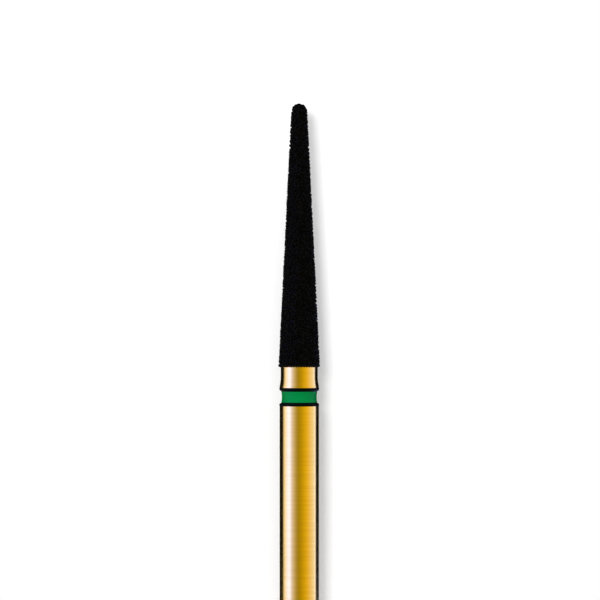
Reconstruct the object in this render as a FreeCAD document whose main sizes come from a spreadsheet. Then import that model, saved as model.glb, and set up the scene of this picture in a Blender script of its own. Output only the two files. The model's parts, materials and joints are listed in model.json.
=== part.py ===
import FreeCAD, Part
import math
import os
import Sketcher

# A tapered, round-ended diamond bur for a dental handpiece with a friction-grip chuck.
# One turned steel blank carries a single layer of bonded diamond grit on its head,
# and a ring of paint in a turned groove, whose colour tells the size of the grit.
# The axis is Z. The shank's end face is at zero and the cutting tip points up.

# Driving sizes, in millimetres
SIZES = {
    "shank_dia": 1.6,
    "shank_length": 10.3,
    "shank_end_chamfer": 0.12,
    "groove_width": 0.5,
    "groove_depth": 0.18,
    "edge_break": 0.025,
    "paint_thickness": 0.09,
    "paint_creep": 0.02,
    "flare_length": 0.6,
    "neck_relief": 0.045,
    "neck_length": 0.4,
    "head_length": 10.7,
    "head_base_dia": 1.67,
    "tip_radius": 0.325,
    "coat_thickness": 0.14,
    "coat_edge_radius": 0.04,
}

# Radii and heights that follow from them, as expressions of the sheet's cells
SHANK_R = "sizes.shank_dia / 2"
GROOVE_R = f"{SHANK_R} - sizes.groove_depth"
PAINT_EDGE_R = f"{GROOVE_R} + sizes.paint_thickness + sizes.paint_creep"
NECK_R = f"{SHANK_R} - sizes.neck_relief"
HEAD_BASE_R = "sizes.head_base_dia / 2"
GRIT_TIP_R = "sizes.tip_radius"
CORE_TIP_R = f"{GRIT_TIP_R} - sizes.coat_thickness"

GROOVE_FOOT = "sizes.shank_length"
GROOVE_TOP = f"{GROOVE_FOOT} + sizes.groove_width"
FLARE_TOP = f"{GROOVE_TOP} + sizes.flare_length"
HEAD_BASE = f"{FLARE_TOP} + sizes.neck_length"
TIP_CENTRE = f"{HEAD_BASE} + sizes.head_length - {GRIT_TIP_R}"

# Names for the numbers by which a sketch knows its points and its own vertical axis
START, END, CENTRE = 1, 2, 3
ORIGIN = (-1, START)
AXIS_OF_TURNING = -2

# How near a rim must lie to the place where it is looked for
NEAR = 1e-4

doc = FreeCAD.newDocument("dental_bur")


def make_sheet():
    """The spreadsheet that holds the driving sizes, one named cell each."""
    sheet = doc.addObject("Spreadsheet::Sheet", "sizes")
    for row, (name, number) in enumerate(SIZES.items(), start=1):
        sheet.set(f"A{row}", name)
        sheet.set(f"B{row}", str(number))
        sheet.setAlias(f"B{row}", name)
    doc.recompute()
    return sheet


sheet = make_sheet()


def value(expression):
    """What an expression of the sheet's cells comes to."""
    return float(sheet.evalExpression(expression))


def make_body(name):
    body = doc.addObject("PartDesign::Body", name)
    body.Label = name
    return body


def sketch_through_axis(body, name):
    """A sketch on the body's XZ plane: its vertical axis is the axis of turning."""
    sketch = body.newObject("Sketcher::SketchObject", name)
    plane = next(f for f in body.Origin.OriginFeatures if f.Role == "XZ_Plane")
    sketch.AttachmentSupport = [(plane, "")]
    sketch.MapMode = "FlatFace"
    return sketch


def line(sketch, start, end, for_reference=False):
    edge = Part.LineSegment(FreeCAD.Vector(*start, 0), FreeCAD.Vector(*end, 0))
    return sketch.addGeometry(edge, for_reference)


def arc(sketch, centre, radius, first, last, for_reference=False):
    circle = Part.Circle(FreeCAD.Vector(*centre, 0), FreeCAD.Vector(0, 0, 1), radius)
    return sketch.addGeometry(Part.ArcOfCircle(circle, first, last), for_reference)


def tie(sketch, kind, *where):
    sketch.addConstraint(Sketcher.Constraint(kind, *where))


def dimension(sketch, kind, name, where, expression):
    """A named dimension that follows the sheet."""
    index = sketch.addConstraint(Sketcher.Constraint(kind, *where, value(expression)))
    sketch.renameConstraint(index, name)
    sketch.setExpression(f"Constraints.{name}", expression)


def finish_sketch(sketch):
    doc.recompute()
    if sketch.solve() != 0 or not sketch.FullyConstrained:
        raise RuntimeError(f"{sketch.Name} is not fully constrained")


def turn(body, name, kind, sketch):
    """A full turn of a sketch round its own vertical axis, as metal or as a cut."""
    feature = body.newObject(kind, name)
    feature.Profile = sketch
    feature.ReferenceAxis = (sketch, ["V_Axis"])
    feature.Angle = 360
    sketch.Visibility = False
    doc.recompute()
    return feature


def rim(shape, radius, height):
    """The name of the circular edge of that radius at that height."""
    for number, edge in enumerate(shape.Edges, start=1):
        if edge.Degenerated or not isinstance(edge.Curve, Part.Circle):
            continue
        circle = edge.Curve
        if abs(circle.Radius - radius) < NEAR and abs(circle.Center.z - height) < NEAR:
            return f"Edge{number}"
    raise RuntimeError(f"no rim of radius {radius} at height {height}")


def soften(body, kind, name, base, rims, amount, cell):
    """A chamfer or a fillet on named rims, whose amount follows one cell."""
    feature = body.newObject(kind, name)
    feature.Base = (base, rims)
    setattr(feature, amount, value(cell))
    feature.setExpression(amount, cell)
    body.Tip = feature
    doc.recompute()
    return feature


def head_wall(sketch, name, tip_radius, for_reference=False):
    """One wall of the head: a straight side that runs smoothly into a round tip."""
    base = value(HEAD_BASE_R)
    foot = value(HEAD_BASE)
    centre = value(TIP_CENTRE)
    outer = value(GRIT_TIP_R)
    radius = value(tip_radius)
    slant = math.hypot(base, centre - foot)
    taper = math.acos(outer / slant) - math.atan2(centre - foot, base)
    inset = (outer - radius) / math.cos(taper)
    touch = (radius * math.cos(taper), centre + radius * math.sin(taper))

    side = line(sketch, (base - inset, foot), touch, for_reference)
    tip = arc(sketch, (0, centre), radius, taper, math.pi / 2, for_reference)
    tie(sketch, "Tangent", side, END, tip, START)
    tie(sketch, "PointOnObject", tip, END, AXIS_OF_TURNING)
    dimension(sketch, "Radius", name, (tip,), tip_radius)
    return side, tip


def head_walls(sketch, grit_for_reference=False):
    """The grit's outer face and, evenly inside it, the face of the steel core."""
    grit_side, grit_tip = head_wall(sketch, "grit_tip_radius", GRIT_TIP_R, grit_for_reference)
    core_side, core_tip = head_wall(sketch, "core_tip_radius", CORE_TIP_R)
    tie(sketch, "PointOnObject", grit_tip, CENTRE, AXIS_OF_TURNING)
    tie(sketch, "Coincident", grit_tip, CENTRE, core_tip, CENTRE)
    tie(sketch, "Parallel", grit_side, core_side)
    tie(sketch, "Horizontal", grit_side, START, core_side, START)
    dimension(sketch, "DistanceX", "head_base_radius", (*ORIGIN, grit_side, START), HEAD_BASE_R)
    dimension(sketch, "DistanceY", "head_base", (*ORIGIN, grit_side, START), HEAD_BASE)
    dimension(sketch, "DistanceY", "tip_centre", (*ORIGIN, grit_tip, CENTRE), TIP_CENTRE)
    return grit_side, grit_tip, core_side, core_tip


def draw_blank(body):
    """Half the section of the turned blank, before its groove is cut."""
    sketch = sketch_through_axis(body, "blank_section")
    shank_r = value(SHANK_R)
    neck_r = value(NECK_R)
    flare_foot = value(GROOVE_TOP)
    flare_top = value(FLARE_TOP)
    head_base = value(HEAD_BASE)
    step = shank_r - neck_r
    rise = flare_top - flare_foot
    flare_r = (step**2 + rise**2) / (2 * step)
    sweep = math.asin(rise / flare_r)

    _, _, core_side, core_tip = head_walls(sketch, grit_for_reference=True)
    end_face = line(sketch, (0, 0), (shank_r, 0))
    shank_side = line(sketch, (shank_r, 0), (shank_r, flare_foot))
    flare = arc(sketch, (neck_r + flare_r, flare_top), flare_r, math.pi, math.pi + sweep)
    neck_side = line(sketch, (neck_r, flare_top), (neck_r, head_base))
    shoulder = line(sketch, (neck_r, head_base), (value(HEAD_BASE_R), head_base))
    axis = line(sketch, (0, value(TIP_CENTRE)), (0, 0))

    tie(sketch, "Coincident", end_face, START, *ORIGIN)
    tie(sketch, "Horizontal", end_face)
    tie(sketch, "Coincident", end_face, END, shank_side, START)
    tie(sketch, "Vertical", shank_side)
    tie(sketch, "Coincident", shank_side, END, flare, END)
    tie(sketch, "Tangent", flare, START, neck_side, START)
    tie(sketch, "Vertical", neck_side)
    tie(sketch, "Coincident", neck_side, END, shoulder, START)
    tie(sketch, "Horizontal", shoulder)
    tie(sketch, "Coincident", shoulder, END, core_side, START)
    tie(sketch, "Coincident", core_tip, END, axis, START)
    tie(sketch, "Coincident", axis, END, *ORIGIN)
    dimension(sketch, "DistanceX", "shank_radius", (*ORIGIN, shank_side, START), SHANK_R)
    dimension(sketch, "DistanceX", "neck_radius", (*ORIGIN, neck_side, START), NECK_R)
    dimension(sketch, "DistanceY", "flare_foot", (*ORIGIN, shank_side, END), GROOVE_TOP)
    dimension(sketch, "DistanceY", "flare_top", (*ORIGIN, neck_side, START), FLARE_TOP)
    finish_sketch(sketch)
    return sketch


def draw_groove(body):
    """Half the section of the cutter that turns the groove for the paint."""
    sketch = sketch_through_axis(body, "groove_section")
    root = value(GROOVE_R)
    clear = value("sizes.shank_dia")
    foot = value(GROOVE_FOOT)
    top = value(GROOVE_TOP)
    corners = [(root, foot), (clear, foot), (clear, top), (root, top)]
    sides = [line(sketch, a, b) for a, b in zip(corners, corners[1:] + corners[:1])]
    for side, following in zip(sides, sides[1:] + sides[:1]):
        tie(sketch, "Coincident", side, END, following, START)
    for side, kind in zip(sides, ("Horizontal", "Vertical", "Horizontal", "Vertical")):
        tie(sketch, kind, side)
    foot_side, outer_side, _, _ = sides
    dimension(sketch, "DistanceX", "groove_root", (*ORIGIN, foot_side, START), GROOVE_R)
    dimension(sketch, "DistanceX", "clear_of_steel", (*ORIGIN, foot_side, END), "sizes.shank_dia")
    dimension(sketch, "DistanceY", "groove_foot", (*ORIGIN, foot_side, START), GROOVE_FOOT)
    dimension(sketch, "DistanceY", "groove_top", (*ORIGIN, outer_side, END), GROOVE_TOP)
    finish_sketch(sketch)
    return sketch


def make_blank():
    """Shank, groove, flared neck and the tapered core that carries the grit."""
    body = make_body("steel_blank")
    turned = turn(body, "turned_blank", "PartDesign::Revolution", draw_blank(body))
    whole = turned.Shape.Volume
    grooved = turn(body, "paint_groove", "PartDesign::Groove", draw_groove(body))
    if grooved.Shape.Volume >= whole:
        raise RuntimeError("the groove removed nothing")

    shank_r = value(SHANK_R)
    end_rim = [rim(grooved.Shape, shank_r, 0)]
    chamfered = soften(body, "PartDesign::Chamfer", "shank_end_chamfer", grooved, end_rim,
                       "Size", "sizes.shank_end_chamfer")
    groove_rims = [rim(chamfered.Shape, shank_r, value(z)) for z in (GROOVE_FOOT, GROOVE_TOP)]
    soften(body, "PartDesign::Fillet", "groove_edge_breaks", chamfered, groove_rims,
           "Radius", "sizes.edge_break")
    return body


def make_band():
    """The paint in the groove: it creeps up both walls, so its face is slightly hollow."""
    body = make_body("colour_band")
    sketch = sketch_through_axis(body, "band_section")
    root = value(GROOVE_R)
    edge = value(PAINT_EDGE_R)
    foot = value(GROOVE_FOOT)
    top = value(GROOVE_TOP)
    creep = value("sizes.paint_creep")
    reach = (top - foot) / 2
    hollow_r = (creep**2 + reach**2) / (2 * creep)
    half = math.asin(reach / hollow_r)
    centre = (edge - creep + hollow_r, foot + reach)

    foot_side = line(sketch, (root, foot), (edge, foot))
    hollow = arc(sketch, centre, hollow_r, math.pi - half, math.pi + half)
    top_side = line(sketch, (edge, top), (root, top))
    root_side = line(sketch, (root, top), (root, foot))
    tie(sketch, "Coincident", foot_side, END, hollow, END)
    tie(sketch, "Coincident", hollow, START, top_side, START)
    tie(sketch, "Coincident", top_side, END, root_side, START)
    tie(sketch, "Coincident", root_side, END, foot_side, START)
    tie(sketch, "Horizontal", foot_side)
    tie(sketch, "Horizontal", top_side)
    tie(sketch, "Vertical", root_side)
    tie(sketch, "Equal", foot_side, top_side)
    dimension(sketch, "DistanceX", "groove_root", (*ORIGIN, root_side, END), GROOVE_R)
    dimension(sketch, "DistanceX", "paint_edge", (*ORIGIN, foot_side, END), PAINT_EDGE_R)
    dimension(sketch, "DistanceY", "groove_foot", (*ORIGIN, root_side, END), GROOVE_FOOT)
    dimension(sketch, "DistanceY", "groove_top", (*ORIGIN, root_side, START), GROOVE_TOP)
    dimension(sketch, "Radius", "hollow_radius", (hollow,),
              "(sizes.paint_creep ^ 2 + (sizes.groove_width / 2) ^ 2) / (2 * sizes.paint_creep)")
    finish_sketch(sketch)
    turn(body, "painted_ring", "PartDesign::Revolution", sketch)
    return body


def make_coat():
    """The bonded grit: an even shell over the core, closed by the round tip."""
    body = make_body("diamond_coat")
    sketch = sketch_through_axis(body, "coat_section")
    grit_side, grit_tip, core_side, core_tip = head_walls(sketch)
    foot = value(HEAD_BASE)
    centre = value(TIP_CENTRE)
    base = line(sketch, (value(NECK_R), foot), (value(HEAD_BASE_R), foot))
    through = line(sketch, (0, centre + value(GRIT_TIP_R)), (0, centre + value(CORE_TIP_R)))
    tie(sketch, "Coincident", base, START, core_side, START)
    tie(sketch, "Coincident", base, END, grit_side, START)
    tie(sketch, "Coincident", through, START, grit_tip, END)
    tie(sketch, "Coincident", through, END, core_tip, END)
    finish_sketch(sketch)

    shell = turn(body, "grit_shell", "PartDesign::Revolution", sketch)
    base_rim = [rim(shell.Shape, value(HEAD_BASE_R), foot)]
    soften(body, "PartDesign::Fillet", "coat_edge", shell, base_rim,
           "Radius", "sizes.coat_edge_radius")
    return body


def check(bodies):
    """Stops before anything is written if an object failed or a solid is not whole."""
    doc.recompute()
    for thing in doc.Objects:
        if {"Invalid", "Error"} & set(thing.State):
            raise RuntimeError(f"{thing.Name} failed: {thing.State}")
    for body in bodies:
        shape = body.Shape
        if shape.isNull() or not shape.isValid() or len(shape.Solids) != 1:
            raise RuntimeError(f"{body.Label} is not one valid solid")


bodies = [make_blank(), make_band(), make_coat()]
check(bodies)
os.makedirs("parts", exist_ok=True)
for body in bodies:
    body.Shape.exportStep(f"parts/{body.Label}.step")
    box = body.Shape.optimalBoundingBox()
    reach = f"z {box.ZMin:.3f} to {box.ZMax:.3f}, {box.XLength:.3f} mm across"
    print(f"{body.Label}: {body.Shape.Volume:.4f} mm3, {reach}")
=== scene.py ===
# %% [markdown]
# # A dental bur, from its CAD solids to its looks
# A bur is the cutting tool of a dental drill. This one has a gold-coloured steel shank 1.60 mm across,
# which the drill grips, a ring of green paint, which says that its grit is coarse, and a long tapered
# head with a round end, covered with black diamond grit. The CAD side has settled the forms and sizes.
# Here each form gets the surface that the real one has, so that it looks right close by and from all
# sides.

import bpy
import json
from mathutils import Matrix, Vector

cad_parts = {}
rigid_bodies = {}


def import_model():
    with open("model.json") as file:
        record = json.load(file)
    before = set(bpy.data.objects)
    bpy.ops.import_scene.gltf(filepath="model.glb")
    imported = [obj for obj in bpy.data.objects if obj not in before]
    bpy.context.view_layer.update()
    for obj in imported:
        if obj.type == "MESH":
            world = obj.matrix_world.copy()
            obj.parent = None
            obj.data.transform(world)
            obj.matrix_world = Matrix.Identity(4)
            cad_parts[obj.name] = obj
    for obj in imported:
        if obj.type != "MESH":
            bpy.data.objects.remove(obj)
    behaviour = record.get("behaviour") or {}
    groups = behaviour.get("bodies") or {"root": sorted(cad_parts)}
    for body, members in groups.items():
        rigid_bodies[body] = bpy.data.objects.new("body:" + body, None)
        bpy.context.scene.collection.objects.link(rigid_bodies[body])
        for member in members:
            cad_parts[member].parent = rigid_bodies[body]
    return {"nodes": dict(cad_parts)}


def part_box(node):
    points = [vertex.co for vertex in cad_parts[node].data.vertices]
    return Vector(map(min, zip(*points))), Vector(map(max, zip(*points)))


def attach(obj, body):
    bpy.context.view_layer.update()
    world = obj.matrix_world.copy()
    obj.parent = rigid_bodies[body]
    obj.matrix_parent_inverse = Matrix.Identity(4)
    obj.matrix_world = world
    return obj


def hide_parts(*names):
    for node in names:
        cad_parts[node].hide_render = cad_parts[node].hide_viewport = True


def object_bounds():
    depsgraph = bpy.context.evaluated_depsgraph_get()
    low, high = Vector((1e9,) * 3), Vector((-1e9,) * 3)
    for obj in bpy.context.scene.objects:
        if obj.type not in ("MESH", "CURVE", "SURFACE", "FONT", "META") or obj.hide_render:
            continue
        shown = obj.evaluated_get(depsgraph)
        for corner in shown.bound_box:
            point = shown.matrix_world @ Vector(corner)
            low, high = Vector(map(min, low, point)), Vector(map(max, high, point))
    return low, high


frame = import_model()
cad_low, cad_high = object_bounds()
print("CAD nodes:", sorted(frame["nodes"]))
print("CAD box in mm:", [round(c * 1000, 3) for c in (*cad_low, *cad_high)])

# %% [markdown]
# Blender works in metres, and a bur is described in millimetres. The heights are read from the boxes of
# the CAD nodes, so that every new piece stands where its solid stands. Radii that a box doesn't show,
# such as that of the neck, are named here once.

# %% Sizes of the bur, in metres
import json
import math

import bmesh
import bpy
from mathutils import Vector

MM = 0.001
foot_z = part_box("steel_blank")[0].z
groove_foot, groove_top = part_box("colour_band")[0].z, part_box("colour_band")[1].z
head_base, head_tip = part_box("diamond_coat")[0].z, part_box("diamond_coat")[1].z
shank_r = 0.8 * MM
groove_r = 0.62 * MM
paint_edge_r = 0.73 * MM
paint_creep = 0.02 * MM
neck_r = 0.755 * MM
flare_top = 11.4 * MM
head_base_r = 0.835 * MM
tip_r = 0.325 * MM
coat_thickness = 0.14 * MM
turned_segments = 128
head_segments = 96
print("head from", round(head_base / MM, 3), "to", round(head_tip / MM, 3), "mm")

# %% [markdown]
# ## The camera
# The bur is drawn straight from the side, with its tip up and its shank running out of the picture at the
# bottom. A long lens keeps both edges of the shank parallel, as they are in such a picture. The scale
# comes from the shank: it is 39.3 of the 600 pixels wide, so the picture spans 24.4 mm at the bur's axis.

# %% Camera
picture_span = 24.41 * MM
lens = 300
sensor_width = 36
aim_height = 14.51 * MM
aside = 0.03 * MM
camera_data = bpy.data.cameras.new("side_view")
camera_data.lens = lens
camera_data.sensor_width = sensor_width
camera_data.clip_start = 0.01
camera_data.clip_end = 5
camera = bpy.data.objects.new("side_view", camera_data)
bpy.context.scene.collection.objects.link(camera)
distance = picture_span * lens / sensor_width
camera.location = (aside, -distance, aim_height)
camera.rotation_euler = (math.radians(90), 0, 0)
bpy.context.scene.camera = camera
print("camera stands", round(distance / MM), "mm from the bur")

# %% [markdown]
# ## A helper for nodes, and one for colours
# Materials and Geometry Nodes are both trees of nodes, so one small function serves both: it adds a node,
# changes its settings, and gives each input a value or a link. Colours are written as the hex values that
# a paint program shows, and one function turns them into the linear values that Blender calculates with.

# %% Node and colour helpers
def add_node(tree, kind, settings=None, inputs=None):
    """Adds a node. An input gets a value, or a link if an output socket is given."""
    node = tree.nodes.new(kind)
    for name, setting in (settings or {}).items():
        setattr(node, name, setting)
    for key, given in (inputs or {}).items():
        if isinstance(given, bpy.types.NodeSocket):
            tree.links.new(given, node.inputs[key])
        else:
            node.inputs[key].default_value = given
    return node


def linear(hex_colour):
    """Linear colour and alpha for an sRGB hex value."""
    parts = [int(hex_colour[i:i + 2], 16) / 255 for i in (1, 3, 5)]
    return (*[p / 12.92 if p <= 0.04045 else ((p + 0.055) / 1.055) ** 2.4 for p in parts], 1)


def new_material(name):
    material = bpy.data.materials.new(name)
    material.use_nodes = True
    material.node_tree.nodes.clear()
    return material


print("the paint's green is", [round(c, 3) for c in linear("#008A45")])

# %% [markdown]
# ## The gold-coloured finish
# The blank is stainless steel, ground between wheels without centres, and then given a gold-coloured
# nitride finish a few thousandths of a millimetre thick. The finish is a metal itself, so the colour lies
# in its reflections. Grinding leaves very fine lines round the shank, which draw each highlight out along
# it and make the surface satin rather than mirror-bright. Real lines lie a few thousandths of a
# millimetre apart, far too fine to show, so they are drawn 0.09 mm apart here.

# %% Gold finish material
gold_finish = new_material("nitride_finish_on_ground_steel")
tree = gold_finish.node_tree
line_pitch = 0.09 * MM
line_length = 2.5 * MM
cloud_size = 3.0 * MM
line_relief = 0.001 * MM
place = add_node(tree, "ShaderNodeTexCoord")
stretched = add_node(tree, "ShaderNodeMapping", inputs={
    "Vector": place.outputs["Object"],
    "Scale": (1 / line_length, 1 / line_length, 1 / line_pitch),
})
grinding_lines = add_node(tree, "ShaderNodeTexNoise", inputs={
    "Vector": stretched.outputs["Vector"], "Scale": 1.0, "Detail": 3.0, "Roughness": 0.6,
})
clouds = add_node(tree, "ShaderNodeTexNoise", inputs={
    "Vector": place.outputs["Object"], "Scale": 1 / cloud_size, "Detail": 2.0,
})
finish_colour = add_node(tree, "ShaderNodeMix", {"data_type": "RGBA"}, {
    0: clouds.outputs["Fac"], 6: linear("#DFB25E"), 7: linear("#E8BD67"),
})
fine_lines = add_node(tree, "ShaderNodeMapRange", inputs={
    "Value": grinding_lines.outputs["Fac"], "From Min": 0.35, "From Max": 0.7, "To Max": 0.12,
})
colour = add_node(tree, "ShaderNodeMix", {"data_type": "RGBA"}, {
    0: fine_lines.outputs["Result"], 6: finish_colour.outputs[2], 7: linear("#8A6428"),
})
roughness = add_node(tree, "ShaderNodeMapRange", inputs={
    "Value": grinding_lines.outputs["Fac"], "From Min": 0.3, "From Max": 0.7, "To Min": 0.14, "To Max": 0.19,
})
relief = add_node(tree, "ShaderNodeBump", inputs={
    "Strength": 0.35, "Distance": line_relief, "Height": grinding_lines.outputs["Fac"],
})
metal = add_node(tree, "ShaderNodeBsdfPrincipled", inputs={
    "Base Color": colour.outputs[2], "Metallic": 1.0,
    "Roughness": roughness.outputs["Result"], "Normal": relief.outputs["Normal"],
})
add_node(tree, "ShaderNodeOutputMaterial", inputs={"Surface": metal.outputs["BSDF"]})
print("gold finish has", len(tree.nodes), "nodes")

# %% [markdown]
# ## Turning a form on a lathe
# Every part of a bur is round, because it is made on a lathe and a grinding machine. Blender has a Screw
# modifier and a Spin tool for such forms. Geometry Nodes do it too, and the rule can be read in the tree:
# the half section is swept round a circle, the points that fall together on the axis and at the seam are
# merged, and the material is set. The sizes are inputs of the tree, so that one tree serves the blank,
# the paint and the grit's bond.

# %% The lathe, as a tree of Geometry Nodes
def new_tree(name, inputs):
    """A tree with geometry in and out, and the named inputs."""
    made = bpy.data.node_groups.new(name, "GeometryNodeTree")
    made.interface.new_socket("Geometry", in_out="INPUT", socket_type="NodeSocketGeometry")
    made.interface.new_socket("Geometry", in_out="OUTPUT", socket_type="NodeSocketGeometry")
    for label, kind in inputs.items():
        made.interface.new_socket(label, in_out="INPUT", socket_type=kind)
    return made


same_point = 1e-7
lathe = new_tree("lathe", {
    "Segments": "NodeSocketInt", "Circle": "NodeSocketFloat", "Finish": "NodeSocketMaterial",
})
given = add_node(lathe, "NodeGroupInput")
section = add_node(lathe, "GeometryNodeMeshToCurve", inputs={"Mesh": given.outputs["Geometry"]})
inwards = add_node(lathe, "ShaderNodeMath", {"operation": "MULTIPLY"}, {
    0: given.outputs["Circle"], 1: -1.0,
})
shift = add_node(lathe, "ShaderNodeCombineXYZ", inputs={"X": inwards.outputs["Value"]})
laid_flat = add_node(lathe, "GeometryNodeTransform", inputs={
    "Geometry": section.outputs["Curve"], "Translation": shift.outputs["Vector"],
    "Rotation": (math.radians(90), 0, 0),
})
circle = add_node(lathe, "GeometryNodeCurvePrimitiveCircle", inputs={
    "Resolution": given.outputs["Segments"], "Radius": given.outputs["Circle"],
})
upright = add_node(lathe, "GeometryNodeSetCurveNormal", {"mode": "Z_UP"}, {
    "Curve": circle.outputs["Curve"],
})
swept = add_node(lathe, "GeometryNodeCurveToMesh", inputs={
    "Curve": upright.outputs["Curve"], "Profile Curve": laid_flat.outputs["Geometry"],
})
merged = add_node(lathe, "GeometryNodeMergeByDistance", inputs={
    "Geometry": swept.outputs["Mesh"], "Distance": same_point,
})
outwards = add_node(lathe, "GeometryNodeFlipFaces", inputs={"Mesh": merged.outputs["Geometry"]})
smooth = add_node(lathe, "GeometryNodeSetShadeSmooth", inputs={"Geometry": outwards.outputs["Mesh"]})
real = add_node(lathe, "GeometryNodeRealizeInstances", inputs={"Geometry": smooth.outputs["Geometry"]})
finished = add_node(lathe, "GeometryNodeSetMaterial", inputs={
    "Geometry": real.outputs["Geometry"], "Material": given.outputs["Finish"],
})
add_node(lathe, "NodeGroupOutput", inputs={"Geometry": finished.outputs["Geometry"]})
print("the lathe tree has", len(lathe.nodes), "nodes")

# %% [markdown]
# A modifier's inputs are set by the identifiers of their sockets, before the object is first evaluated.
# Its result is then taken as a plain mesh, which is what the export needs, and the modifier goes. The
# check afterwards counts edges that have only one face, of which a closed piece has none.

# %% From a tree to a plain piece
def baked(name, start, made, settings):
    """Runs a tree on a start mesh and returns its result as a new object at the origin."""
    carrier = bpy.data.objects.new(name + "_start", start)
    bpy.context.scene.collection.objects.link(carrier)
    modifier = carrier.modifiers.new("tree", "NODES")
    modifier.node_group = made
    for item in made.interface.items_tree:
        if item.in_out == "INPUT" and item.name in settings:
            modifier[item.identifier] = settings[item.name]
    evaluated = carrier.evaluated_get(bpy.context.evaluated_depsgraph_get())
    mesh = bpy.data.meshes.new_from_object(evaluated)
    carrier.modifiers.clear()
    bpy.data.objects.remove(carrier)
    mesh.name = name
    piece = bpy.data.objects.new(name, mesh)
    bpy.context.scene.collection.objects.link(piece)
    return piece


def report(piece):
    """Prints faces, open edges and volume, and turns the faces outwards where they aren't."""
    shape = bmesh.new()
    shape.from_mesh(piece.data)
    bmesh.ops.recalc_face_normals(shape, faces=shape.faces)
    shape.to_mesh(piece.data)
    triangles = sum(len(face.verts) - 2 for face in shape.faces)
    open_edges = sum(len(edge.link_faces) != 2 for edge in shape.edges)
    volume = shape.calc_volume(signed=True) / MM**3
    shape.free()
    print(f"{piece.name}: {triangles} triangles, {open_edges} open edges, {volume:.3f} mm3")


# %% [markdown]
# A half section is a row of corners, each with the radius to which its edge is broken. A turned edge is
# never perfectly sharp, and the small arc is what catches the light. Two more points beside each arc keep
# the long faces flat in their shading right up to the edge.

# %% A half section with broken edges
def broken(corners, steps=4, beside=0.01 * MM, nearly_straight=0.02):
    """Points of a half section from (radius, height, edge radius) corners."""
    points = [Vector(corners[0][:2])]
    for before, here, after in zip(corners, corners[1:], corners[2:]):
        corner = Vector(here[:2])
        back = (Vector(before[:2]) - corner).normalized()
        on = (Vector(after[:2]) - corner).normalized()
        turn = math.pi - back.angle(on)
        if here[2] == 0 or turn < nearly_straight:
            points.append(corner)
            continue
        reach = here[2] * math.tan(turn / 2)
        middle = corner + (back + on).normalized() * here[2] / math.cos(turn / 2)
        start, stop = corner + back * reach - middle, corner + on * reach - middle
        points.append(middle + start + back * beside)
        for step in range(steps + 1):
            arm = start.lerp(stop, step / steps)
            points.append(middle + arm.normalized() * here[2])
        points.append(middle + stop + on * beside)
    points.append(Vector(corners[-1][:2]))
    return points


def section_mesh(name, points, closed=False):
    """The half section as a mesh of edges in the XZ plane."""
    mesh = bpy.data.meshes.new(name)
    edges = [(i, i + 1) for i in range(len(points) - 1)]
    if closed:
        edges.append((len(points) - 1, 0))
    mesh.from_pydata([(p[0], 0, p[1]) for p in points], edges, [])
    return mesh


# %% [markdown]
# ## The steel blank
# The shank, the groove for the paint, the neck and the core under the grit are one turned piece. The
# shank's end has a chamfer, so that it finds its way into the chuck. Both edges of the groove are broken
# with a small chamfer, which the paint will cover. Above the groove a short land keeps the shank's width,
# and then the neck narrows along a long arc, which leaves no sharp corner where the steel could break.

# %% The outline of the head, at any depth under the grit's tips
tip_centre = head_tip - tip_r
slope = math.atan2(head_base_r, tip_centre - head_base)
slope -= math.asin(tip_r / math.hypot(head_base_r, tip_centre - head_base))


def head_outline(depth, steps=10, base=head_base):
    """Points from the head's base up its side and over its round end, at this depth below the tips."""
    radius = tip_r - depth
    side_r, side_z = radius * math.cos(slope), tip_centre + radius * math.sin(slope)
    base_r = side_r + (side_z - base) * math.tan(slope)
    points = [Vector((base_r, base))]
    for step in range(steps):
        angle = slope + (math.pi / 2 - slope) * step / steps
        points.append(Vector((radius * math.cos(angle), tip_centre + radius * math.sin(angle))))
    points.append(Vector((0, tip_centre + radius)))
    return points


print("the head's side leans", round(math.degrees(slope), 2), "degrees")

# %% Steel blank
end_chamfer = 0.12 * MM
sharp = 0.01 * MM
edge_break = 0.05 * MM
lower_edge = groove_foot + 0.03 * MM
land = 0.2 * MM
flare_foot = groove_top + land
flare_r = ((shank_r - neck_r)**2 + (flare_top - flare_foot)**2) / (2 * (shank_r - neck_r))
flare_steps = 12
below_head = 0.001 * MM
flare = []
for step in range(1, flare_steps + 1):
    height = flare_foot + (flare_top - flare_foot) * step / flare_steps
    sideways = math.sqrt(flare_r**2 - (flare_top - height)**2)
    flare.append((neck_r + flare_r - sideways, height, 0))
core = [(p[0], p[1], 0) for p in head_outline(coat_thickness)]
blank_corners = [
    (0, foot_z, 0),
    (shank_r - end_chamfer, foot_z, 0.03 * MM),
    (shank_r, foot_z + end_chamfer, 0.05 * MM),
    (shank_r, lower_edge - edge_break, sharp),
    (paint_edge_r, lower_edge, 0),
    (groove_r, lower_edge, sharp),
    (groove_r, groove_top, sharp),
    (paint_edge_r, groove_top, 0),
    (shank_r, groove_top + edge_break, sharp),
    (shank_r, flare_foot, 0),
    *flare,
    (neck_r, head_base - below_head, 0.006 * MM),
    *core,
]
blank_start = section_mesh("blank_section", broken(blank_corners))
steel_blank = baked("ground_blank", blank_start, lathe, {
    "Segments": turned_segments, "Circle": MM, "Finish": gold_finish,
})
report(steel_blank)
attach(steel_blank, "root")
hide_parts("steel_blank")
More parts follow.
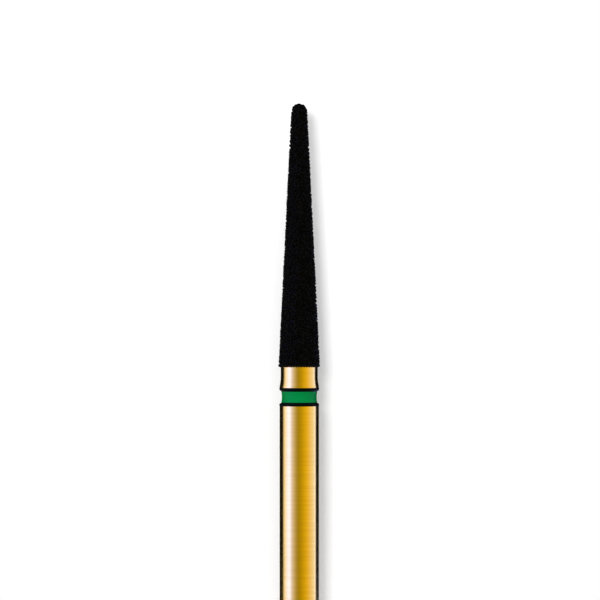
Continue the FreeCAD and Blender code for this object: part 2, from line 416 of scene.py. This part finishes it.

# %% [markdown]
# ## The green ring
# The colour that tells the grit is an enamel, laid in the turned groove with a fine brush while the bur
# spins. It creeps up both walls of the groove as it dries, so its face is a little hollow, and it ends in
# a thin film on the edges beside the groove. The paint next to each wall and that film are painted almost
# black, as painted shade at the groove's two edges, and these two dark lines set the green off from the
# gold. Enamel is a pigment in a clear resin, so its colour is full and its gloss soft. The brush leaves
# faint rings, some 0.1 mm apart.

# %% Enamel material
green_enamel = new_material("brushed_green_enamel")
tree = green_enamel.node_tree
brush_streak = 0.1 * MM
streak_length = 1.1 * MM
streak_relief = 0.003 * MM
ring_middle = (lower_edge + groove_top) / 2
half_width = (groove_top - lower_edge) / 2
shade_fade_width = 0.03 * MM
place = add_node(tree, "ShaderNodeTexCoord")
stretched = add_node(tree, "ShaderNodeMapping", inputs={
    "Vector": place.outputs["Object"],
    "Scale": (1 / streak_length, 1 / streak_length, 1 / brush_streak),
})
streaks = add_node(tree, "ShaderNodeTexNoise", inputs={
    "Vector": stretched.outputs["Vector"], "Scale": 1.0, "Detail": 2.0,
})
green = add_node(tree, "ShaderNodeMix", {"data_type": "RGBA"}, {
    0: streaks.outputs["Fac"], 6: linear("#007C3B"), 7: linear("#008A45"),
})
axes = add_node(tree, "ShaderNodeSeparateXYZ", inputs={"Vector": place.outputs["Object"]})
from_middle = add_node(tree, "ShaderNodeMath", {"operation": "SUBTRACT"}, {
    0: axes.outputs["Z"], 1: ring_middle,
})
height = add_node(tree, "ShaderNodeMath", {"operation": "ABSOLUTE"}, {0: from_middle.outputs["Value"]})
# Painted shade: towards each groove wall the green fades to almost black and turns dull, and the film beyond
# is fully dark. This stands in for the shade at the groove's edges.
painted_shade_edge = add_node(tree, "ShaderNodeMapRange", {"interpolation_type": "SMOOTHSTEP"}, {
    "Value": height.outputs["Value"], "From Min": half_width - shade_fade_width, "From Max": half_width,
})
colour = add_node(tree, "ShaderNodeMix", {"data_type": "RGBA"}, {
    0: painted_shade_edge.outputs["Result"], 6: green.outputs[2], 7: linear("#030604"),
})
sheen = add_node(tree, "ShaderNodeMapRange", inputs={
    "Value": streaks.outputs["Fac"], "To Min": 0.2, "To Max": 0.36,
})
roughness = add_node(tree, "ShaderNodeMix", inputs={
    0: painted_shade_edge.outputs["Result"], 2: sheen.outputs["Result"], 3: 0.6,
})
relief = add_node(tree, "ShaderNodeBump", inputs={
    "Strength": 0.5, "Distance": streak_relief, "Height": streaks.outputs["Fac"],
})
paint = add_node(tree, "ShaderNodeBsdfPrincipled", inputs={
    "Base Color": colour.outputs[2], "Roughness": roughness.outputs[0],
    "IOR": 1.5, "Specular IOR Level": 0.035, "Normal": relief.outputs["Normal"],
})
add_node(tree, "ShaderNodeOutputMaterial", inputs={"Surface": paint.outputs["BSDF"]})
print("enamel has", len(tree.nodes), "nodes")

# %% Green ring
# The thin film past the groove's edges carries painted shade: it comes out fully dark and draws the two dark
# lines.
shade_film = 0.006 * MM
shade_film_width = 0.14 * MM
shade_film_end = half_width + shade_film_width
half_section = [
    Vector((groove_r, half_width)),
    Vector((paint_edge_r, half_width)),
    Vector((shank_r, half_width + edge_break)),
    Vector((shank_r, shade_film_end)),
    Vector((shank_r + shade_film, shade_film_end - shade_film)),
    Vector((shank_r + shade_film, half_width + edge_break - shade_film / 2)),
    Vector((paint_edge_r + shade_film, half_width - shade_film / 2)),
]
hollow_steps = 16
hollow = []
for step in range(hollow_steps + 1):
    along = 2 * step / hollow_steps - 1
    hollow.append(Vector((paint_edge_r - paint_creep * (1 - along**2), (half_width - 2 * shade_film) * along)))
below = [Vector((p.x, -p.y)) for p in half_section]
middle = Vector((0, ring_middle))
ring_points = [p + middle for p in [*below, *hollow, *reversed(half_section)]]
ring_start = section_mesh("ring_section", ring_points, closed=True)
colour_ring = baked("enamel_ring", ring_start, lathe, {
    "Segments": turned_segments, "Circle": MM, "Finish": green_enamel,
})
report(colour_ring)
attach(colour_ring, "root")
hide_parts("colour_band")

# %% [markdown]
# ## Diamond grains
# The head is a single layer of diamond grains, held by nickel that is plated round them until they are
# about half sunk in. Coarse grit measures 0.125 to 0.150 mm. A synthetic diamond grows as a cube whose
# corners are cut off by an octahedron, and each face lies at its own distance, so no two grains are
# alike. That rule makes a few sample grains: a cube is cut by eight planes, each at a distance drawn from
# a seeded series.

# %% Sample grains
import random

sample_count = 8
cube_side = 0.78
side_lengths = (0.9, 1.12)
lean_most = 0.15
cut_distances = (0.36, 0.50)
series = random.Random(12)
samples = bpy.data.collections.new("sample_grains")
for number in range(sample_count):
    shape = bmesh.new()
    bmesh.ops.create_cube(shape, size=cube_side)
    stretch = [series.uniform(*side_lengths) for _ in range(3)]
    bmesh.ops.scale(shape, vec=stretch, verts=shape.verts)
    for x in (-1, 1):
        for y in (-1, 1):
            for z in (-1, 1):
                lean = Vector((x, y, z))
                lean += Vector([series.uniform(-lean_most, lean_most) for _ in range(3)])
                lean.normalize()
                cut = bmesh.ops.bisect_plane(
                    shape, geom=[*shape.verts, *shape.edges, *shape.faces],
                    plane_co=lean * series.uniform(*cut_distances), plane_no=lean, clear_outer=True)
                rim = [part for part in cut["geom_cut"] if isinstance(part, bmesh.types.BMEdge)]
                if rim:
                    bmesh.ops.edgeloop_fill(shape, edges=rim)
    bmesh.ops.recalc_face_normals(shape, faces=shape.faces)
    sample_mesh = bpy.data.meshes.new(f"sample_grain_{number}")
    shape.to_mesh(sample_mesh)
    reach = max(v.co.length for v in shape.verts)
    print(f"sample grain {number}: {len(shape.faces)} faces, reach {reach:.3f}")
    shape.free()
    samples.objects.link(bpy.data.objects.new(f"sample_grain_{number}", sample_mesh))

# %% [markdown]
# Diamond grit on a bur looks dark: light enters the grains and the dark bond under them takes it up, and
# only the faces that happen to be turned right send a glint back. Here the whole head is black, so the
# grains are a black dielectric with a gloss that differs from grain to grain, and their glints are
# faintly yellow, as synthetic diamond is. Each grain carries a random number as an attribute, which the
# material reads.

# %% Grain and bond materials
grain_black = new_material("black_diamond_grit")
tree = grain_black.node_tree
grain_number = add_node(tree, "ShaderNodeAttribute", {"attribute_name": "grain"})
colour = add_node(tree, "ShaderNodeMix", {"data_type": "RGBA"}, {
    0: grain_number.outputs["Fac"], 6: linear("#030303"), 7: linear("#0B0B0B"),
})
roughness = add_node(tree, "ShaderNodeMapRange", inputs={
    "Value": grain_number.outputs["Fac"], "To Min": 0.28, "To Max": 0.6,
})
crystal = add_node(tree, "ShaderNodeBsdfPrincipled", inputs={
    "Base Color": colour.outputs[2], "Roughness": roughness.outputs["Result"],
    "IOR": 1.5, "Specular IOR Level": 0.025, "Specular Tint": linear("#FFEBA8"),
})
add_node(tree, "ShaderNodeOutputMaterial", inputs={"Surface": crystal.outputs["BSDF"]})

bond_black = new_material("black_nickel_bond")
tree = bond_black.node_tree
nodule = 0.03 * MM
nodule_relief = 0.006 * MM
place = add_node(tree, "ShaderNodeTexCoord")
nodules = add_node(tree, "ShaderNodeTexNoise", inputs={
    "Vector": place.outputs["Object"], "Scale": 1 / nodule, "Detail": 3.0,
})
relief = add_node(tree, "ShaderNodeBump", inputs={
    "Strength": 0.6, "Distance": nodule_relief, "Height": nodules.outputs["Fac"],
})
bond = add_node(tree, "ShaderNodeBsdfPrincipled", inputs={
    "Base Color": linear("#050505"), "Roughness": 0.55,
    "Specular IOR Level": 0.035, "Normal": relief.outputs["Normal"],
})
add_node(tree, "ShaderNodeOutputMaterial", inputs={"Surface": bond.outputs["BSDF"]})
print("materials so far:", [m.name for m in bpy.data.materials])

# %% [markdown]
# Some 2,200 grains can't be set by hand, and an even grid would look machine-made. Distribute Points on
# Faces with a smallest distance between the points does what plating does: it fills the surface until no
# further grain fits. Along the head's base one more row of points follows the edge of the mask that keeps
# the grit off the neck. Each point gets one of the samples, a random turn and a random size, and is moved
# so that the grain's outer side comes about to the outline that the CAD gives.

# %% The grit, as a tree of Geometry Nodes
tries_per_square_metre = 4e8
grit = new_tree("grit", {
    "Samples": "NodeSocketCollection", "Spacing": "NodeSocketFloat", "Smallest": "NodeSocketFloat",
    "Largest": "NodeSocketFloat", "Depth": "NodeSocketFloat", "Row Count": "NodeSocketInt",
    "Row Radius": "NodeSocketFloat", "Row Height": "NodeSocketFloat", "Seed": "NodeSocketInt",
    "Finish": "NodeSocketMaterial",
})
given = add_node(grit, "NodeGroupInput")
scattered = add_node(grit, "GeometryNodeDistributePointsOnFaces", {"distribute_method": "POISSON"}, {
    "Mesh": given.outputs["Geometry"], "Distance Min": given.outputs["Spacing"],
    "Density Max": tries_per_square_metre, "Seed": given.outputs["Seed"],
})
scattered_out = add_node(grit, "GeometryNodeStoreNamedAttribute", {"data_type": "FLOAT_VECTOR"}, {
    "Geometry": scattered.outputs["Points"], "Name": "outwards", "Value": scattered.outputs["Normal"],
})
row_height = add_node(grit, "ShaderNodeCombineXYZ", inputs={"Z": given.outputs["Row Height"]})
ring = add_node(grit, "GeometryNodeMeshCircle", inputs={
    "Vertices": given.outputs["Row Count"], "Radius": given.outputs["Row Radius"],
})
spot = add_node(grit, "GeometryNodeInputPosition")
from_axis = add_node(grit, "ShaderNodeVectorMath", {"operation": "NORMALIZE"}, {
    0: spot.outputs["Position"],
})
ring_out = add_node(grit, "GeometryNodeStoreNamedAttribute", {"data_type": "FLOAT_VECTOR"}, {
    "Geometry": ring.outputs["Mesh"], "Name": "outwards", "Value": from_axis.outputs["Vector"],
})
raised = add_node(grit, "GeometryNodeTransform", inputs={
    "Geometry": ring_out.outputs["Geometry"], "Translation": row_height.outputs["Vector"],
})
row = add_node(grit, "GeometryNodeMeshToPoints", inputs={"Mesh": raised.outputs["Geometry"]})
together = add_node(grit, "GeometryNodeJoinGeometry", inputs={
    "Geometry": scattered_out.outputs["Geometry"],
})
grit.links.new(row.outputs["Points"], together.inputs["Geometry"])

# %% Size, place and turn of each grain
half_share = 0.35
full_turn = 6.283
size = add_node(grit, "FunctionNodeRandomValue", {"data_type": "FLOAT"}, {
    2: given.outputs["Smallest"], 3: given.outputs["Largest"], "Seed": 3,
})
half_size = add_node(grit, "ShaderNodeMath", {"operation": "MULTIPLY"}, {
    0: size.outputs[1], 1: half_share,
})
out_by = add_node(grit, "ShaderNodeMath", {"operation": "SUBTRACT"}, {
    0: given.outputs["Depth"], 1: half_size.outputs["Value"],
})
outwards = add_node(grit, "GeometryNodeInputNamedAttribute", {"data_type": "FLOAT_VECTOR"}, {
    "Name": "outwards",
})
shift = add_node(grit, "ShaderNodeVectorMath", {"operation": "SCALE"}, {
    0: outwards.outputs["Attribute"], "Scale": out_by.outputs["Value"],
})
placed = add_node(grit, "GeometryNodeSetPosition", inputs={
    "Geometry": together.outputs["Geometry"], "Offset": shift.outputs["Vector"],
})
any_turn = add_node(grit, "FunctionNodeRandomValue", {"data_type": "FLOAT_VECTOR"}, {
    0: (0, 0, 0), 1: (full_turn, full_turn, full_turn), "Seed": 4,
})
turned = add_node(grit, "FunctionNodeEulerToRotation", inputs={"Euler": any_turn.outputs[0]})
which = add_node(grit, "FunctionNodeRandomValue", {"data_type": "INT"}, {
    4: 0, 5: sample_count - 1, "Seed": 5,
})
sorts = add_node(grit, "GeometryNodeCollectionInfo", inputs={
    "Collection": given.outputs["Samples"], "Separate Children": True, "Reset Children": True,
})
grains = add_node(grit, "GeometryNodeInstanceOnPoints", inputs={
    "Points": placed.outputs["Geometry"], "Instance": sorts.outputs["Instances"], "Pick Instance": True,
    "Instance Index": which.outputs[2], "Rotation": turned.outputs["Rotation"], "Scale": size.outputs[1],
})
number = add_node(grit, "FunctionNodeRandomValue", {"data_type": "FLOAT"}, {"Seed": 6})
by_grain = {"data_type": "FLOAT", "domain": "INSTANCE"}
numbered = add_node(grit, "GeometryNodeStoreNamedAttribute", by_grain, {
    "Geometry": grains.outputs["Instances"], "Name": "grain", "Value": number.outputs[1],
})
real = add_node(grit, "GeometryNodeRealizeInstances", inputs={"Geometry": numbered.outputs["Geometry"]})
finished = add_node(grit, "GeometryNodeSetMaterial", inputs={
    "Geometry": real.outputs["Geometry"], "Material": given.outputs["Finish"],
})
add_node(grit, "NodeGroupOutput", inputs={"Geometry": finished.outputs["Geometry"]})
print("the grit tree has", len(grit.nodes), "nodes")

# %% Diamond grit
grain_depth = 0.06 * MM
base_row = 0.052 * MM
scatter_from = 0.145 * MM
row_inset = 0.005 * MM
side_start = section_mesh("grit_side", head_outline(grain_depth, base=head_base + scatter_from))
seat = baked("grit_seat", side_start, lathe, {
    "Segments": head_segments, "Circle": MM, "Finish": grain_black,
})
diamond_grit = baked("diamond_grit", seat.data, grit, {
    "Samples": samples,
    "Spacing": 0.098 * MM,
    "Smallest": 0.112 * MM,
    "Largest": 0.152 * MM,
    "Depth": grain_depth,
    "Row Count": 44,
    "Row Radius": head_outline(grain_depth)[0].x - row_inset,
    "Row Height": head_base + base_row,
    "Seed": 3,
    "Finish": grain_black,
})
bpy.data.objects.remove(seat)
report(diamond_grit)
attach(diamond_grit, "root")
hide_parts("diamond_coat")

# %% [markdown]
# Nickel builds up round each grain a little higher than between them, because the current is stronger
# there. The bond is turned on the same lathe, with a finer mesh, and its tree lifts every point that lies
# near a grain.

# %% The bond, as a tree of Geometry Nodes
plating = new_tree("plating", {
    "Grains": "NodeSocketObject", "Reach": "NodeSocketFloat", "Rise": "NodeSocketFloat",
    "Finish": "NodeSocketMaterial",
})
given = add_node(plating, "NodeGroupInput")
grain_faces = add_node(plating, "GeometryNodeObjectInfo", inputs={"Object": given.outputs["Grains"]})
near = add_node(plating, "GeometryNodeProximity", {"target_element": "FACES"}, {
    0: grain_faces.outputs["Geometry"],
})
lift = add_node(plating, "ShaderNodeMapRange", {"interpolation_type": "SMOOTHSTEP"}, {
    "Value": near.outputs["Distance"], "From Min": 0.0, "From Max": given.outputs["Reach"],
    "To Min": given.outputs["Rise"], "To Max": 0.0,
})
normal = add_node(plating, "GeometryNodeInputNormal")
shift = add_node(plating, "ShaderNodeVectorMath", {"operation": "SCALE"}, {
    0: normal.outputs["Normal"], "Scale": lift.outputs["Result"],
})
risen = add_node(plating, "GeometryNodeSetPosition", inputs={
    "Geometry": given.outputs["Geometry"], "Offset": shift.outputs["Vector"],
})
real = add_node(plating, "GeometryNodeRealizeInstances", inputs={"Geometry": risen.outputs["Geometry"]})
finished = add_node(plating, "GeometryNodeSetMaterial", inputs={
    "Geometry": real.outputs["Geometry"], "Material": given.outputs["Finish"],
})
add_node(plating, "NodeGroupOutput", inputs={"Geometry": finished.outputs["Geometry"]})
print("the plating tree has", len(plating.nodes), "nodes")

# %% Nickel bond
bond_depth = 0.062 * MM
outside = head_outline(bond_depth)
rings = 160
side = [outside[0].lerp(outside[1], step / rings) for step in range(rings)]
inside = head_outline(coat_thickness)
bond_points = [*reversed(outside[1:]), *reversed(side), *inside]
bond_start = section_mesh("bond_section", bond_points)
plain_bond = baked("plain_bond", bond_start, lathe, {
    "Segments": head_segments, "Circle": MM, "Finish": bond_black,
})
nickel_bond = baked("nickel_bond", plain_bond.data, plating, {
    "Grains": diamond_grit, "Reach": 0.03 * MM, "Rise": 0.018 * MM, "Finish": bond_black,
})
bpy.data.objects.remove(plain_bond)
report(nickel_bond)
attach(nickel_bond, "root")
for sample in list(samples.objects):
    bpy.data.objects.remove(sample)

# %% [markdown]
# ## Floor and background
# The bur stands on a small pale floor that keeps its shadow and fades into a white background. The world
# is white for the camera and for what metal mirrors, and half as bright for the light that falls on the
# bur, so that colours come out as they are written. A mirrored floor fades sooner than the seen one, so
# that it leaves the reflections in the shank to the papers that come later.

# %% World
world = bpy.data.worlds.new("white_room")
bpy.context.scene.world = world
world.use_nodes = True
tree = world.node_tree
tree.nodes.clear()
ray = add_node(tree, "ShaderNodeLightPath")
seen_or_mirrored = add_node(tree, "ShaderNodeMath", {"operation": "ADD", "use_clamp": True}, {
    0: ray.outputs["Is Camera Ray"], 1: ray.outputs["Is Glossy Ray"],
})
white_for = add_node(tree, "ShaderNodeMath", {"operation": "ADD", "use_clamp": True}, {
    0: seen_or_mirrored.outputs["Value"], 1: ray.outputs["Is Transmission Ray"],
})
level = add_node(tree, "ShaderNodeMapRange", inputs={
    "Value": white_for.outputs["Value"], "To Min": 0.5, "To Max": 1.0,
})
sky = add_node(tree, "ShaderNodeBackground", inputs={
    "Color": (1, 1, 1, 1), "Strength": level.outputs["Result"],
})
add_node(tree, "ShaderNodeOutputWorld", inputs={"Surface": sky.outputs["Background"]})
print("world has", len(tree.nodes), "nodes")

# %% Floor
floor_radius = 30 * MM
floor_fades = (5 * MM, 26 * MM)
sooner_in_metal = 4.0
floor_glow = 0.4
floor_finish = new_material("pale_floor")
tree = floor_finish.node_tree
place = add_node(tree, "ShaderNodeTexCoord")
away = add_node(tree, "ShaderNodeVectorMath", {"operation": "LENGTH"}, {0: place.outputs["Object"]})
ray = add_node(tree, "ShaderNodeLightPath")
shrink = add_node(tree, "ShaderNodeMath", {"operation": "MULTIPLY_ADD"}, {
    0: ray.outputs["Is Glossy Ray"], 1: sooner_in_metal, 2: 1.0,
})
edge = add_node(tree, "ShaderNodeMath", {"operation": "MULTIPLY"}, {
    0: away.outputs["Value"], 1: shrink.outputs["Value"],
})
fade = add_node(tree, "ShaderNodeMapRange", {"interpolation_type": "SMOOTHSTEP"}, {
    "Value": edge.outputs["Value"], "From Min": floor_fades[0], "From Max": floor_fades[1],
})
own = add_node(tree, "ShaderNodeMath", {"operation": "MULTIPLY"}, {
    0: ray.outputs["Is Camera Ray"], 1: floor_glow,
})
pale = add_node(tree, "ShaderNodeBsdfDiffuse", inputs={"Color": linear("#F2F2F2")})
lift = add_node(tree, "ShaderNodeEmission", inputs={
    "Color": (1, 1, 1, 1), "Strength": own.outputs["Value"],
})
paper = add_node(tree, "ShaderNodeAddShader", inputs={
    0: pale.outputs["BSDF"], 1: lift.outputs["Emission"],
})
nothing = add_node(tree, "ShaderNodeBsdfTransparent")
surface = add_node(tree, "ShaderNodeMixShader", inputs={
    0: fade.outputs["Result"], 1: paper.outputs["Shader"], 2: nothing.outputs["BSDF"],
})
add_node(tree, "ShaderNodeOutputMaterial", inputs={"Surface": surface.outputs["Shader"]})
shape = bmesh.new()
bmesh.ops.create_circle(shape, cap_ends=True, segments=96, radius=floor_radius)
floor_mesh = bpy.data.meshes.new("floor")
shape.to_mesh(floor_mesh)
shape.free()
floor_mesh.materials.append(floor_finish)
floor = bpy.data.objects.new("floor", floor_mesh)
bpy.context.scene.collection.objects.link(floor)
floor.location.z = cad_low.z
print("floor is", round(floor.dimensions.x / MM), "mm across")

# %% [markdown]
# Close behind the bur stands a white board, which catches its soft shadow. The board is painted on its
# front only, so from behind it isn't there, and neither light nor reflections see it.

# %% Board
board_gap = 1.15 * MM
board_side = 14 * MM
board_top = 30 * MM
board_fades = (6 * MM, 13 * MM)
board_glow = 0.235
board_finish = new_material("white_board")
tree = board_finish.node_tree
place = add_node(tree, "ShaderNodeTexCoord")
axes = add_node(tree, "ShaderNodeSeparateXYZ", inputs={"Vector": place.outputs["Object"]})
away = add_node(tree, "ShaderNodeMath", {"operation": "ABSOLUTE"}, {0: axes.outputs["X"]})
fade = add_node(tree, "ShaderNodeMapRange", {"interpolation_type": "SMOOTHSTEP"}, {
    "Value": away.outputs["Value"], "From Min": board_fades[0], "From Max": board_fades[1],
})
side_seen = add_node(tree, "ShaderNodeNewGeometry")
clear = add_node(tree, "ShaderNodeMath", {"operation": "MAXIMUM"}, {
    0: fade.outputs["Result"], 1: side_seen.outputs["Backfacing"],
})
pale = add_node(tree, "ShaderNodeBsdfDiffuse", inputs={"Color": linear("#F2F2F2")})
lift = add_node(tree, "ShaderNodeEmission", inputs={"Color": (1, 1, 1, 1), "Strength": board_glow})
paper = add_node(tree, "ShaderNodeAddShader", inputs={
    0: pale.outputs["BSDF"], 1: lift.outputs["Emission"],
})
nothing = add_node(tree, "ShaderNodeBsdfTransparent")
surface = add_node(tree, "ShaderNodeMixShader", inputs={
    0: clear.outputs["Value"], 1: paper.outputs["Shader"], 2: nothing.outputs["BSDF"],
})
add_node(tree, "ShaderNodeOutputMaterial", inputs={"Surface": surface.outputs["Shader"]})
outline = [(-board_side, 0), (board_side, 0), (board_side, board_top), (-board_side, board_top)]
board_mesh = bpy.data.meshes.new("board")
board_mesh.from_pydata([(x, board_gap, z) for x, z in outline], [], [(0, 1, 2, 3)])
board_mesh.materials.append(board_finish)
board = bpy.data.objects.new("board", board_mesh)
bpy.context.scene.collection.objects.link(board)
board.visible_diffuse = False
board.visible_glossy = False
board.visible_shadow = False
print("board stands", round(board_gap / MM, 2), "mm behind the axis")

# %% [markdown]
# ## Studio light
# Two kinds of light are kept apart. Soft lamps light what is matt: the paint, the grit and the floor. Papers
# with a painted gradient stand round the bur for what is polished, because polished metal shows its
# surroundings and little else. The lamps come first, and reflections don't see them.

# %% Lamps
lamp_aim = Vector((0, 0, 12 * MM))


def around(azimuth, distance, height):
    """A place round the bur. Azimuth 0 is towards the camera, and 90 to its right."""
    angle = math.radians(azimuth)
    return Vector((math.sin(angle) * distance, -math.cos(angle) * distance, height))


def soft_lamp(name, azimuth, distance, height, side, level):
    """A square lamp that faces the bur. A level of 1 is as bright as the white background."""
    lamp = bpy.data.lights.new(name, "AREA")
    lamp.size = side
    lamp.energy = level * math.pi * side**2
    box = bpy.data.objects.new(name, lamp)
    bpy.context.scene.collection.objects.link(box)
    box.location = around(azimuth, distance, height)
    towards = lamp_aim - box.location
    box.rotation_euler = towards.to_track_quat("-Z", "Y").to_euler()
    box.visible_camera = False
    box.visible_glossy = False
    return box


soft_lamp("front_lamp", -17, 150 * MM, 62 * MM, 50 * MM, 17.0)
soft_lamp("top_lamp", 35, 90 * MM, 150 * MM, 90 * MM, 1.6)
print("lamps:", [(lamp.name, f"{lamp.energy:.4f} W") for lamp in bpy.data.lights])


# %% [markdown]
# A paper is a strip round the bur, and a row of azimuths with a tone for each paints it. Its tones are the
# colours that the metal shows there, some of them brighter than white. Far up and far down all papers turn
# grey.

# %% A sheet that only reflections see
def upright_sheet(name, columns, distance, rows):
    """A sheet round the bur that only reflections see, with a tone for each of its columns.

    A row gives a height and how much of its tone's colour it keeps, from 1 down to 0, which is a plain
    grey. The sheet glows for a straight look into the metal only, so that it throws no light on the board
    or the floor."""
    finish = new_material(name)
    tone = add_node(finish.node_tree, "ShaderNodeAttribute", {"attribute_name": "tone"})
    ray = add_node(finish.node_tree, "ShaderNodeLightPath")
    straight = add_node(finish.node_tree, "ShaderNodeMath", {"operation": "LESS_THAN"}, {
        0: ray.outputs["Diffuse Depth"], 1: 0.5,
    })
    glow = add_node(finish.node_tree, "ShaderNodeEmission", inputs={
        "Color": tone.outputs["Color"], "Strength": straight.outputs["Value"],
    })
    add_node(finish.node_tree, "ShaderNodeOutputMaterial", inputs={"Surface": glow.outputs["Emission"]})
    points, tones, faces = [], [], []
    for azimuth, colour in columns:
        grey = min(sum(colour) / 3, 1)
        for height, kept in rows:
            points.append(around(azimuth, distance, height))
            tones.append([grey + (c - grey) * kept for c in colour])
    for i in range(len(columns) - 1):
        for j in range(len(rows) - 1):
            corner = i * len(rows) + j
            faces.append((corner, corner + 1, corner + 1 + len(rows), corner + len(rows)))
    mesh = bpy.data.meshes.new(name)
    mesh.from_pydata(points, [], faces)
    painted = mesh.attributes.new("tone", "FLOAT_COLOR", "POINT")
    for i, colour in enumerate(tones):
        painted.data[i].color = (*colour, 1)
    mesh.materials.append(finish)
    sheet = bpy.data.objects.new(name, mesh)
    bpy.context.scene.collection.objects.link(sheet)
    sheet.visible_camera = False
    sheet.visible_diffuse = False
    sheet.visible_shadow = False
    return sheet


# %% [markdown]
# The front paper is palest at the left, which gives the bright streak, and darker and warmer by the camera,
# which gives the deep gold in the middle.

# %% Front paper
gradient = [
    (-110, (0.42, 0.42, 0.42)),
    (-102, (0.95, 1.1, 1.5)),
    (-92, (1.28, 1.52, 2.75)),
    (-84, (1.5, 1.7, 3.95)),
    (-76, (1.75, 1.85, 5.9)),
    (-62, (1.8, 2.15, 7.7)),
    (-54, (1.4, 1.85, 6.2)),
    (-46, (1.0, 1.27, 3.5)),
    (-36, (0.88, 0.98, 1.7)),
    (-27, (0.74, 0.76, 0.75)),
    (-15, (0.54, 0.50, 0.16)),
    (-3, (0.49, 0.44, 0.01)),
    (14, (0.67, 0.57, 0.01)),
    (32, (0.9, 0.74, 0.02)),
    (50, (1.06, 0.9, 0.12)),
    (71, (1.18, 1.13, 1.05)),
    (92, (1.18, 1.37, 2.1)),
    (102, (1.4, 1.7, 3.7)),
    (110, (1.3, 1.6, 3.6)),
    (114, (0.3, 0.3, 0.3)),
]
paper_distance = 100 * MM
paper_top = 110 * MM
lower_rows = [(-50 * MM, 1), (-110 * MM, 0), (-280 * MM, 0)]
front_rows = [(paper_top, 0), (50 * MM, 1), *lower_rows]
front_paper = upright_sheet("gradient_paper", gradient, paper_distance, front_rows)
print(front_paper.name, "has", len(front_paper.data.polygons), "fields")

# %% [markdown]
# A dark card behind gives the edges their dark line against the white, with one golden streak in it for
# whoever looks from the back.

# %% Dark card
black = (0, 0, 0)
amber = (0.22, 0.2, 0.07)
golden = (0.75, 0.7, 0.24)
card_foot = -8 * MM
card = [(azimuth, black) for azimuth in range(114, 159, 4)]
card += [(166, amber), (175, golden), (186, golden), (194, amber)]
card += [(azimuth, black) for azimuth in range(202, 251, 4)]
dark_card = upright_sheet("dark_card", card, paper_distance, [(paper_top, 1), (card_foot, 1)])
print(dark_card.name, "has", len(dark_card.data.polygons), "fields")

# %% [markdown]
# Below the card a third paper goes on with the gradient, because from higher up the metal mirrors what lies
# low.

# %% Back paper
back_gradient = [
    (114, (0.3, 0.3, 0.3)),
    (124, (1.2, 1.35, 2.4)),
    (134, (2.0, 2.6, 7.0)),
    (146, (2.0, 2.6, 6.5)),
    (158, (0.9, 1.0, 1.7)),
    (176, (0.54, 0.50, 0.16)),
    (196, (0.62, 0.54, 0.05)),
    (216, (0.9, 0.8, 0.1)),
    (234, (1.1, 1.1, 0.9)),
    (246, (0.6, 0.6, 0.6)),
    (250, (0.3, 0.3, 0.3)),
]
back_paper = upright_sheet("back_paper", back_gradient, paper_distance, [(card_foot, 1), *lower_rows])
print(back_paper.name, "has", len(back_paper.data.polygons), "fields")

# %% [markdown]
# ## Colour management and the end
# Standard shows a colour as it is written.

# %% Finish
bpy.context.scene.view_settings.view_transform = "Standard"
